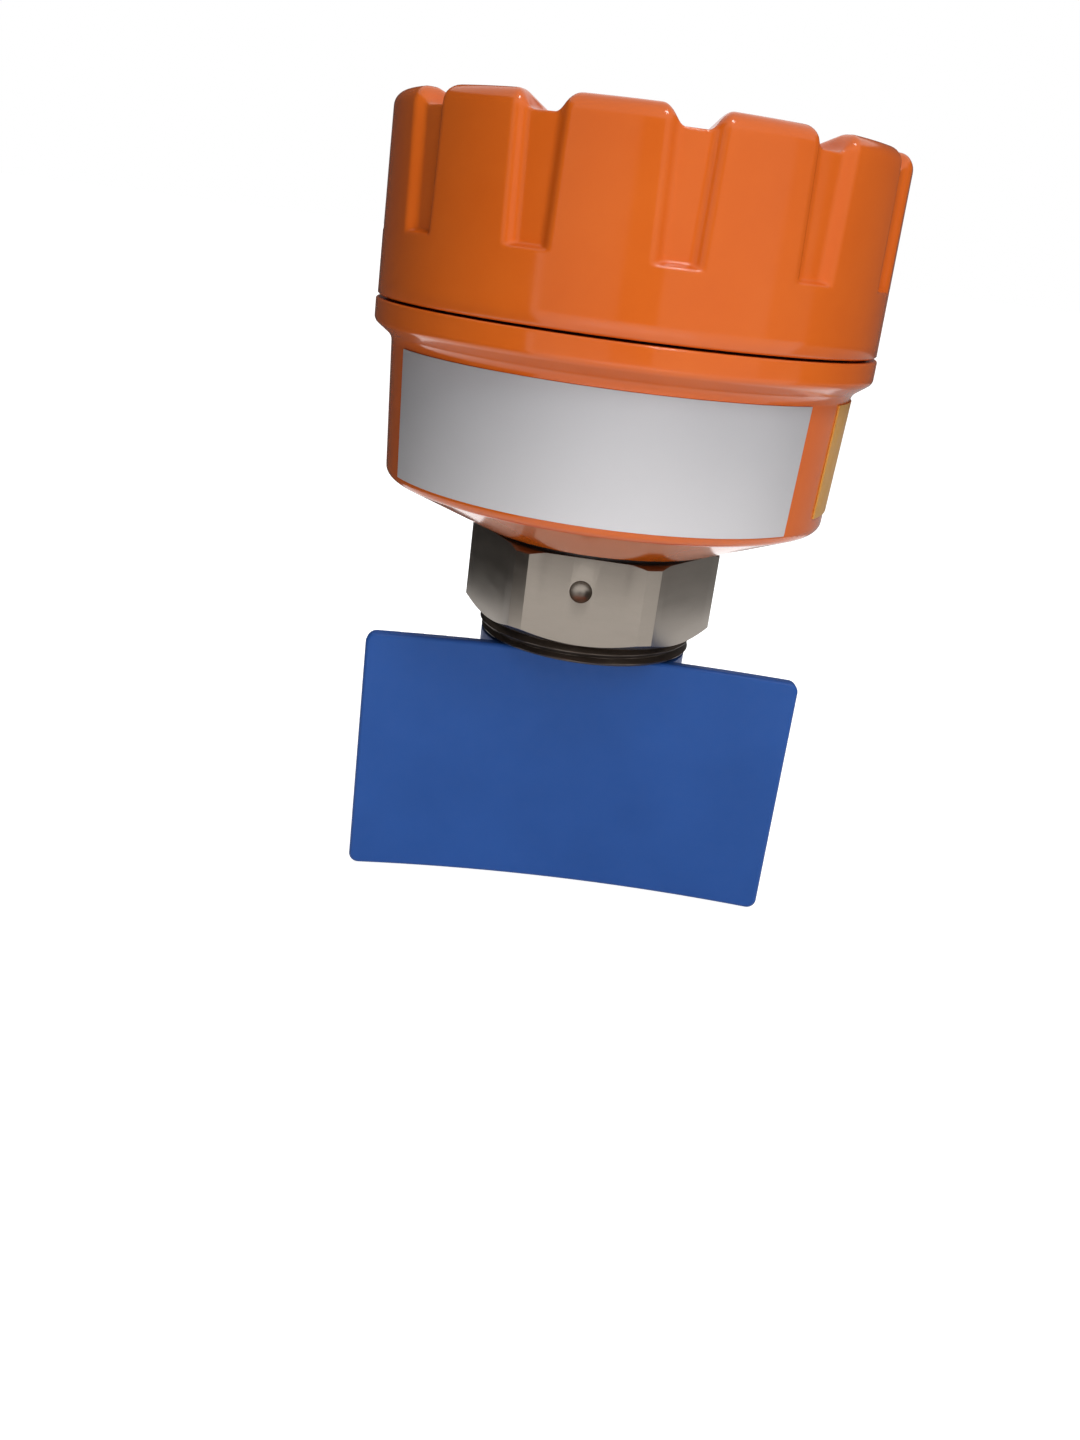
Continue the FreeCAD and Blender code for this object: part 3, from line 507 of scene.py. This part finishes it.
def metal_finish(name, dark, light, low, high, scale, stretch=even, depth=0.00001):
    """Bare metal from low to high roughness, whose grain is stretched along its working direction."""
    finish = Finish(name, metal=1.0, roughness=(low + high) / 2)
    grain = finish.noise(scale, detail=4.0, stretch=stretch)
    finish.colour(grain, linear(*dark), linear(*light))
    finish.roughness(grain, low, high)
    finish.bump(grain, depth, strength=0.4)
    return finish.material


def plastic_finish(name, dark, light, low, high, mirror=usual_mirror):
    """Moulded plastic from low to high roughness, with a fine, even skin."""
    finish = Finish(name, metal=0.0, roughness=(low + high) / 2, mirror=mirror)
    finish.colour(finish.noise(scale=24.0), linear(*dark), linear(*light))
    finish.roughness(finish.noise(scale=500.0), low, high)
    finish.bump(finish.noise(scale=1000.0, detail=2.0), depth=0.00003, strength=0.3)
    return finish.material


def make_materials():
    return {
        "housing_paint": paint_finish(),
        "black_rubber": rubber_finish(),
        "label_foil": foil_finish(),
        "yellow_label": yellow_finish(),
        "stainless": metal_finish(
            "stainless", dark=(136, 128, 119), light=(142, 134, 125), low=0.30, high=0.38,
            scale=90.0, stretch=(1.0, 1.0, 4.0), depth=0.000002),
        # Painted shade: a darker copy of the stainless, for the thread in the shade under the hex
        "thread_shaded_steel": metal_finish(
            "thread_shaded_steel", dark=(84, 76, 70), light=(104, 95, 88), low=0.38, high=0.50,
            scale=120.0, stretch=(1.0, 1.0, 6.0), depth=0.000004),
        "bearing_steel": metal_finish(
            "bearing_steel", dark=(176, 176, 178), light=(198, 198, 200), low=0.18, high=0.28,
            scale=160.0, stretch=(1.0, 1.0, 18.0)),
        "vane_plastic": plastic_finish(
            "vane_plastic", dark=(30, 71, 137), light=(37, 80, 151), low=0.42, high=0.55,
            mirror=vane_mirror),
        "zinc_plate": metal_finish(
            "zinc_plate", dark=(168, 168, 158), light=(194, 192, 178), low=0.30, high=0.45,
            scale=60.0, stretch=(1.0, 6.0, 6.0)),
        "bronze": metal_finish(
            "bronze", dark=(150, 106, 62), light=(178, 130, 80), low=0.40, high=0.55, scale=900.0),
        "gear_case_zinc": metal_finish(
            "gear_case_zinc", dark=(134, 136, 138), light=(160, 162, 164), low=0.45, high=0.6,
            scale=700.0, depth=0.00004),
        "motor_steel": metal_finish(
            "motor_steel", dark=(166, 168, 170), light=(188, 190, 192), low=0.26, high=0.36,
            scale=70.0, stretch=(1.0, 1.0, 14.0)),
        "switch_plastic": plastic_finish(
            "switch_plastic", dark=(30, 30, 32), light=(40, 40, 42), low=0.45, high=0.6),
        "button_plastic": plastic_finish(
            "button_plastic", dark=(172, 28, 22), light=(190, 40, 30), low=0.3, high=0.4),
        "spring_steel": metal_finish(
            "spring_steel", dark=(160, 160, 162), light=(184, 184, 186), low=0.22, high=0.32, scale=400.0),
        "block_plastic": plastic_finish(
            "block_plastic", dark=(44, 44, 46), light=(56, 56, 58), low=0.4, high=0.55),
        "brass": metal_finish(
            "brass", dark=(196, 158, 84), light=(216, 180, 104), low=0.22, high=0.34, scale=300.0),
    }


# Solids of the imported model, each in its slot's material
def dress_nodes():
    for part in record["subparts"]:
        coat(nodes[part["node"]], part["material_slot"])


# Process connection: the hex with its dimple, and the pipe thread under it
def hex_radius(angle):
    """Radius of the six-sided bar at an angle, with its corners left round."""
    side = math.radians(hex_side_angle)
    offset = (angle - math.radians(hex_turn)) % side - side / 2
    return min(hex_flats / 2 / math.cos(offset), hex_bar_r)


def hex_angles():
    """Angles of the columns, with one at each edge of each flat."""
    edge = math.degrees(math.acos(hex_flats / 2 / hex_bar_r))
    corner = hex_side_angle - 2 * edge
    angles = []
    for side in range(hex_sides):
        middle = hex_turn + hex_side_angle * side + hex_side_angle / 2
        for step in range(hex_flat_steps + 1):
            angles.append(math.radians(middle - edge + 2 * edge * step / hex_flat_steps))
        for step in range(1, hex_corner_steps):
            angles.append(math.radians(middle + edge + corner * step / hex_corner_steps))
    return angles


def dimple_ball():
    """Ball that leaves the dimple's width and depth in the front flat."""
    ball_r = (dimple_r ** 2 + dimple_depth ** 2) / (2 * dimple_depth)
    ball_out = hex_flats / 2 + ball_r - dimple_depth
    bpy.ops.mesh.primitive_uv_sphere_add(segments=dimple_segments, ring_count=dimple_rings, radius=ball_r)
    ball = bpy.context.object
    turn = Matrix.Rotation(math.radians(hex_turn), 4, "Z")
    ball.matrix_world = turn @ Matrix.Translation((dimple_offset, -ball_out, dimple_height))
    return ball


def build_hex():
    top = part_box("process_bushing")[1].z
    upper_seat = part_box("upper_bearing")[0].z
    lower_seat_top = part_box("lower_bearing")[1].z
    columns = []
    for angle in hex_angles():
        outer = hex_radius(angle)
        lower_land = min(outer, hex_lower_land_r)
        upper_land = min(outer, hex_upper_land_r)
        lower_edge = (outer - lower_land) * hex_chamfer_slope
        upper_edge = hex_height - (outer - upper_land) * hex_chamfer_slope
        profile = [
            (bearing_seat_r, 0.0),
            (lower_land, 0.0),
            (outer, lower_edge),
            (outer, upper_edge),
            (upper_land, hex_height),
            (spigot_r, hex_height),
            (spigot_r, top),
            (bearing_seat_r, top),
            (bearing_seat_r, upper_seat),
            (shaft_bore_r, upper_seat),
            (shaft_bore_r, lower_seat_top),
            (bearing_seat_r, lower_seat_top),
        ]
        columns.append([around(radius, height, angle) for radius, height in profile])
    made = columns_mesh("process_hex", columns)
    mend(made)
    ball = dimple_ball()
    cut_away(made, "dimple", ball)
    edges = made.modifiers.new("edges", "BEVEL")
    edges.width = hex_edge_bevel
    edges.segments = hex_bevel_steps
    edges.limit_method = "ANGLE"
    edges.angle_limit = math.radians(hex_bevel_from)
    bpy.context.view_layer.update()
    applied(made)
    bpy.data.objects.remove(ball)
    smooth(made, sharp_hex)
    dress(made, "housing", "stainless")
    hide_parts("process_bushing")


def thread_wave(turns):
    """Depth share of a pipe thread, from 0 at a crest to 1 at a root, after a number of turns."""
    share = abs((turns % 1.0) * 2 - 1)
    return min(1.0, max(0.0, (share - thread_flat) / (1 - 2 * thread_flat)))


def build_process_thread():
    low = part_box("process_bushing")[0]
    length = -low.z
    rows = round(length / thread_pitch * thread_rows_per_turn)
    columns = []
    for step in range(turn_steps):
        angle = 2 * math.pi * step / turn_steps
        column = [around(bearing_seat_r, low.z, angle)]
        for row in range(rows + 1):
            height = low.z + length * row / rows
            wave = thread_wave(height / thread_pitch - step / turn_steps)
            radius = thread_r + height * thread_taper - thread_depth * wave
            end_limit = thread_r - thread_end_chamfer + (height - low.z)
            column.append(around(min(radius, end_limit), height, angle))
        column.append(around(bearing_seat_r, 0.0, angle))
        columns.append(column)
    made = columns_mesh("process_thread", columns)
    mend(made)
    smooth(made, sharp_section)
    # The thread takes the darker copy of the stainless, with the shade under the hex painted into its
    # colour
    dress(made, "housing", "stainless", "thread_shaded_steel")


# Cover, whose slots and notches are let into one turned section
def soft_min(first, second, width):
    """Smaller of two values, with a soft change from one to the other."""
    near = max(width - abs(first - second), 0.0) / width
    return min(first, second) - near * near * width / 4


def soft_max(first, second, width):
    return -soft_min(-first, -second, width)


def rounded_path(corners):
    """Points of a path whose corners give place, radius and the number of rows to the next one."""
    path = []
    rows = 1
    for index, (across, height, radius, next_rows) in enumerate(corners):
        here = Vector((across, height))
        bend = [here]
        if radius > 0:
            before = (Vector(corners[index - 1][:2]) - here).normalized()
            after = (Vector(corners[index + 1][:2]) - here).normalized()
            half = before.angle(after) / 2
            middle = here + (before + after).normalized() * (radius / math.sin(half))
            first = here + before * (radius / math.tan(half)) - middle
            last = here + after * (radius / math.tan(half)) - middle
            start = math.atan2(first.y, first.x)
            turn = (math.atan2(last.y, last.x) - start + math.pi) % (2 * math.pi) - math.pi
            bend = []
            for step in range(arc_steps + 1):
                angle = start + turn * step / arc_steps
                bend.append(middle + radius * Vector((math.cos(angle), math.sin(angle))))
        if path:
            end = path[-1]
            for row in range(1, rows):
                path.append(end.lerp(bend[0], row / rows))
        path.extend(bend)
        rows = next_rows
    return path


def cover_section(low, high):
    """Section without slots: over the top, down the outside and back along the inside."""
    crown = high - cover_rim_rise
    ceiling = crown - cover_wall
    notch_end = high - notch_reach
    foot_above = low + slot_foot + foot_reach_above
    foot_below = low + slot_foot - foot_reach_below
    lean = (cover_top_r - cover_r) / (high - low)
    outside = rounded_path((
        (0.0, crown, 0, crown_rows),
        (cover_rim_r, crown, cover_blend_r, rim_rows),
        (cover_land_r, high, cover_blend_r, land_rows),
        (cover_top_r, high, cover_edge_r, notch_rows),
        (cover_r + lean * (notch_end - low), notch_end, 0, slot_rows),
        (cover_r + lean * (foot_above - low), foot_above, 0, slot_foot_rows),
        (cover_r + lean * (foot_below - low), foot_below, 0, skirt_rows),
        (cover_r, low + cover_round, 0, 1),
    ))
    inside = rounded_path((
        (cover_r - cover_round, low, 0, 1),
        (seal_groove_outer_r, low, 0, 1),
        (seal_groove_outer_r, low + seal_groove_depth, 0, 1),
        (seal_groove_inner_r, low + seal_groove_depth, 0, 1),
        (seal_groove_inner_r, low, 0, 1),
        (cover_bore_r, low, 0, 1),
        (cover_bore_r, low + cover_shoulder, 0, 1),
        (cover_cavity_r, low + cover_shoulder + cover_shoulder_slope, 0, 1),
        (cover_cavity_r, ceiling, cover_blend_r, crown_rows),
        (0.0, ceiling, 0, 1),
    ))
    return outside, inside


def slot_angles():
    """Angles of the columns with their offsets from the nearest slot, close together at the slots."""
    pitch = 2 * math.pi / slot_count
    fine = slot_fine_reach / cover_r
    fine_count = round(2 * slot_fine_reach / slot_fine_step)
    offsets = [-fine + 2 * fine * step / fine_count for step in range(fine_count + 1)]
    offsets += [fine + (pitch - 2 * fine) * step / lug_steps for step in range(1, lug_steps)]
    angles = []
    for slot in range(slot_count):
        middle = math.radians(slot_first + front_angle) + pitch * slot
        for offset in offsets:
            nearest = offset - pitch if offset > pitch / 2 else offset
            angles.append((middle + offset, nearest))
    return angles


def slotted(place, outward, offset, low, high):
    """A point of the outside, moved in by the grip slot and down by the notch in the rim."""
    aside = abs(place.x * math.sin(offset))
    foot = low + slot_foot
    grown = (place.y - foot) / (high - foot)
    half = slot_foot_half + (slot_head_half - slot_foot_half) * grown
    room = soft_min(half - aside, (place.y - foot) * slot_foot_slope, slot_soft)
    depth = soft_max(soft_min(room, slot_depth, slot_soft), 0.0, slot_soft)
    floor = high - notch_depth
    level = soft_max(floor, floor + (aside - notch_half) * notch_slope, notch_corner_soft)
    level += max(0.0, notch_inner_r - place.x)
    return place.x - depth * outward, soft_min(place.y, level, notch_soft)


def build_cover():
    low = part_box("cover")[0].z
    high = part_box("cover")[1].z
    outside, inside = cover_section(low, high)
    # How much each point of the outside faces outwards, from 0 on the top to 1 on an upright wall
    facing = []
    for index in range(len(outside)):
        along = outside[min(index + 1, len(outside) - 1)] - outside[max(index - 1, 0)]
        facing.append(max(0.0, -along.y / along.length))
    columns = []
    for angle, offset in slot_angles():
        column = []
        for place, outward in zip(outside, facing):
            radius, height = slotted(place, outward, offset, low, high)
            column.append(around(radius, height, angle))
        for place in inside:
            column.append(around(place.x, place.y, angle))
        columns.append(column)
    made = columns_mesh("cover_shell", columns)
    mend(made, weld=True)
    smooth(made, sharp_section)
    dress(made, "cover", "housing_paint")
    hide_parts("cover")


# Fine threads of the housing's neck and the conduit hub
def helical_ridge(name, radius, height, pitch, start, turns, steps=turn_steps):
    """Ridge of a thread about Z. A negative height stands inwards."""
    columns = []
    total = round(turns * steps)
    runout = steps * ridge_runout
    half = pitch * ridge_half
    foot = radius - ridge_sunk * height
    for step in range(total + 1):
        angle = 2 * math.pi * step / steps
        level = start + pitch * step / steps
        grown = min(1.0, step / runout, (total - step) / runout)
        crest = radius + height * max(grown, ridge_end)
        columns.append([
            around(foot, level - half, angle),
            around(crest, level - half * ridge_crest, angle),
            around(crest, level + half * ridge_crest, angle),
            around(foot, level + half, angle),
        ])
    made = columns_mesh(name, columns, closed_turn=False)
    mend(made, fill=True)
    smooth(made, sharp_fine)
    return made


def build_neck_thread():
    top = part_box("housing_body")[1].z
    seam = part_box("cover")[0].z
    start = seam + neck_thread_margin + neck_thread_pitch / 2
    room = top - neck_thread_margin - neck_thread_pitch - start
    made = helical_ridge("neck_thread", neck_r, neck_thread_height, neck_thread_pitch, start,
                         room / neck_thread_pitch)
    dress(made, "housing", "housing_paint")


def build_conduit_thread():
    low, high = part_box("conduit_hub")
    made = helical_ridge("conduit_thread", conduit_bore_r, -conduit_thread_height, conduit_thread_pitch,
                         conduit_thread_pitch, conduit_thread_turns, conduit_thread_steps)
    middle = (low + high) / 2
    lay = Matrix.Rotation(math.radians(quarter_turn), 4, "X")
    made.data.transform(Matrix.Translation((middle.x, high.y, middle.z)) @ lay)
    mend(made)
    dress(made, "housing", "housing_paint")


# Return spring, in its solid's own form
def build_spring():
    """Puts a copy of the spring's solid in its place, in spring steel, and hides the solid."""
    solid = nodes["return_spring"]
    mesh = solid.data.copy()
    mesh.transform(solid.matrix_world)
    made = scene_object("return_spring_wire", mesh)
    coat(made, "spring_steel")
    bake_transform(made)
    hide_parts("return_spring")


# Screws with domed heads and a cross recess
def screw_mesh(points, faces, low, high, head_height, shank_r):
    """Adds one screw, head up, in the box of its solid."""
    middle = (low + high) / 2
    head_r = (high.x - low.x) / 2
    seat = high.z - head_height
    profile = [
        (0.0, low.z),
        (shank_r * tip_width, low.z),
        (shank_r, low.z + shank_r * tip_length),
        (shank_r, seat),
        (head_r * head_seat_width, seat),
        (head_r, seat + head_height * head_seat_rise),
    ]
    for step in range(1, dome_steps):
        angle = math.radians(quarter_turn) * step / dome_steps
        profile.append((head_r * math.cos(angle) ** head_dome, seat + head_height * math.sin(angle)))
    profile.append((0.0, high.z))
    first = len(points)
    rows = len(profile)
    for step in range(screw_steps):
        angle = 2 * math.pi * step / screw_steps
        for radius, height in profile:
            points.append(around(radius, height, angle) + Vector((middle.x, middle.y, 0)))
    for step in range(screw_steps):
        here = first + step * rows
        following = first + (step + 1) % screw_steps * rows
        for row in range(rows - 1):
            faces.append((here + row, following + row, following + row + 1, here + row + 1))


def recess_bars(low, high, head_height):
    """Two crossed bars that cut the recess into a screw's head."""
    middle = (low + high) / 2
    head_width = high.x - low.x
    bars = []
    for turn in (recess_turn, recess_turn + quarter_turn):
        bpy.ops.mesh.primitive_cube_add(size=1.0)
        bar = bpy.context.object
        bar.matrix_world = (Matrix.Translation((middle.x, middle.y, high.z))
                            @ Matrix.Rotation(math.radians(turn), 4, "Z")
                            @ Matrix.Diagonal((head_width * recess_length, head_width * recess_width,
                                               2 * head_height * recess_depth, 1.0)))
        bars.append(bar)
    return bars


def build_screws(node, slot, head_height, shank_r):
    points = []
    faces = []
    boxes = islands(node)
    for low, high in boxes:
        screw_mesh(points, faces, low, high, head_height, shank_r)
    made = mesh_object(node + "_heads", points, faces)
    mend(made, weld=True)
    bars = []
    for low, high in boxes:
        bars += recess_bars(low, high, head_height)
    for bar in bars:
        cut_away(made, "recess", bar)
    bpy.context.view_layer.update()
    applied(made)
    for bar in bars:
        bpy.data.objects.remove(bar)
    smooth(made, sharp_fine)
    body = next(name for name, members in record["behaviour"]["bodies"].items() if node in members)
    dress(made, body, slot)
    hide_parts(node)


# Stage
def bare_material(name):
    """A new material without its shader, and its nodes."""
    made = bpy.data.materials.new(name)
    made.use_nodes = True
    tree = made.node_tree
    tree.nodes.remove(tree.nodes["Principled BSDF"])
    return made, tree


def seen_rays(tree):
    """1 for rays that show the background: from the camera, a reflection or through glass."""
    path = tree.nodes.new("ShaderNodeLightPath")
    first = tree.nodes.new("ShaderNodeMath")
    first.operation = "MAXIMUM"
    second = tree.nodes.new("ShaderNodeMath")
    second.operation = "MAXIMUM"
    tree.links.new(path.outputs["Is Camera Ray"], first.inputs[0])
    tree.links.new(path.outputs["Is Glossy Ray"], first.inputs[1])
    tree.links.new(first.outputs["Value"], second.inputs[0])
    tree.links.new(path.outputs["Is Transmission Ray"], second.inputs[1])
    return second.outputs["Value"]


def build_floor():
    """Pale floor that looks near white and throws little light on the object."""
    bpy.ops.mesh.primitive_plane_add(size=2 * floor_reach, location=(0, 0, cad_low.z - floor_drop))
    floor = bpy.context.object
    floor.name = "floor"
    made, tree = bare_material("floor")
    shade = tree.nodes.new("ShaderNodeBsdfDiffuse")
    shade.inputs["Color"].default_value = grey(floor_shade)
    glow = tree.nodes.new("ShaderNodeEmission")
    level = tree.nodes.new("ShaderNodeMath")
    level.operation = "MULTIPLY"
    level.inputs[1].default_value = floor_glow
    both = tree.nodes.new("ShaderNodeAddShader")
    tree.links.new(seen_rays(tree), level.inputs[0])
    tree.links.new(level.outputs["Value"], glow.inputs["Strength"])
    tree.links.new(shade.outputs["BSDF"], both.inputs[0])
    tree.links.new(glow.outputs["Emission"], both.inputs[1])
    tree.links.new(both.outputs["Shader"], tree.nodes["Material Output"].inputs["Surface"])
    floor.data.materials.append(made)


def build_cards():
    for name, first, last, radius, low, high, shade in cards:
        points = []
        for step in range(card_steps + 1):
            angle = math.radians(first + (last - first) * step / card_steps + front_angle)
            points.append(around(radius, low, angle))
            points.append(around(radius, high, angle))
        faces = [(2 * step, 2 * step + 2, 2 * step + 3, 2 * step + 1) for step in range(card_steps)]
        made = mesh_object(name, points, faces)
        paint, tree = bare_material(name)
        glow = tree.nodes.new("ShaderNodeEmission")
        glow.inputs["Color"].default_value = grey(shade)
        tree.links.new(glow.outputs["Emission"], tree.nodes["Material Output"].inputs["Surface"])
        made.data.materials.append(paint)
        made.visible_camera = False
        made.visible_diffuse = False
        made.visible_shadow = False


def build_world():
    """Backdrop that looks white, and lights the object dimly, more from the right."""
    world = bpy.data.worlds.new("studio")
    bpy.context.scene.world = world
    world.use_nodes = True
    tree = world.node_tree
    background = tree.nodes["Background"]
    background.inputs["Color"].default_value = grey(1.0)
    place = tree.nodes.new("ShaderNodeTexCoord")
    apart = tree.nodes.new("ShaderNodeSeparateXYZ")
    across = tree.nodes.new("ShaderNodeMapRange")
    across.inputs["From Min"].default_value = -1.0
    across.inputs["From Max"].default_value = 1.0
    across.inputs["To Min"].default_value = world_dim
    across.inputs["To Max"].default_value = world_bright
    pick = tree.nodes.new("ShaderNodeMix")
    pick.inputs["B"].default_value = 1.0
    tree.links.new(place.outputs["Generated"], apart.inputs["Vector"])
    tree.links.new(apart.outputs["X"], across.inputs["Value"])
    tree.links.new(across.outputs["Result"], pick.inputs["A"])
    tree.links.new(seen_rays(tree), pick.inputs["Factor"])
    tree.links.new(pick.outputs["Result"], background.inputs["Strength"])


def lamp_object(lamp, backwards):
    """Puts a lamp into the scene, given the direction that its light comes from."""
    made = scene_object(lamp.name, lamp)
    made.rotation_mode = "QUATERNION"
    made.rotation_quaternion = backwards.to_track_quat("Z", "Y")
    return made


def build_soft_box(name, place, aim, size, power):
    """Large lamp that no reflection shows."""
    lamp = bpy.data.lights.new(name, "AREA")
    lamp.shape = "RECTANGLE"
    lamp.size, lamp.size_y = size
    lamp.energy = power
    made = lamp_object(lamp, Vector(place) - Vector(aim))
    made.visible_glossy = False
    made.location = place


def build_glint():
    """Soft sun that gives the paint its highlights."""
    lamp = bpy.data.lights.new("glint", "SUN")
    lamp.energy = glint_strength
    lamp.angle = math.radians(glint_angle)
    lamp_object(lamp, Vector(glint_from))


def build_camera():
    pan = math.radians(camera_pan)
    down = math.radians(camera_down)
    roll = math.radians(camera_roll)
    forward = Vector((math.sin(pan) * math.cos(down), math.cos(pan) * math.cos(down), -math.sin(down)))
    level = Vector((math.cos(pan), -math.sin(pan), 0.0))
    upright = level.cross(forward)
    right = math.cos(roll) * level + math.sin(roll) * upright
    up = math.cos(roll) * upright - math.sin(roll) * level
    turn = Matrix((right, up, -forward)).transposed()
    lens = bpy.data.cameras.new("camera")
    lens.lens = camera_lens
    lens.sensor_width = camera_sensor
    lens.clip_start = camera_near
    made = scene_object("camera", lens)
    made.matrix_world = Matrix.Translation(camera_place) @ turn.to_4x4()
    bpy.context.scene.camera = made


materials = make_materials()
dress_nodes()
build_cover()
build_hex()
build_process_thread()
build_neck_thread()
build_conduit_thread()
build_spring()
for screw in screws:
    build_screws(*screw)
build_floor()
build_cards()
build_world()
for box in soft_boxes:
    build_soft_box(*box)
build_glint()
build_camera()
bpy.context.scene.view_settings.view_transform = "Standard"

bpy.context.view_layer.update()
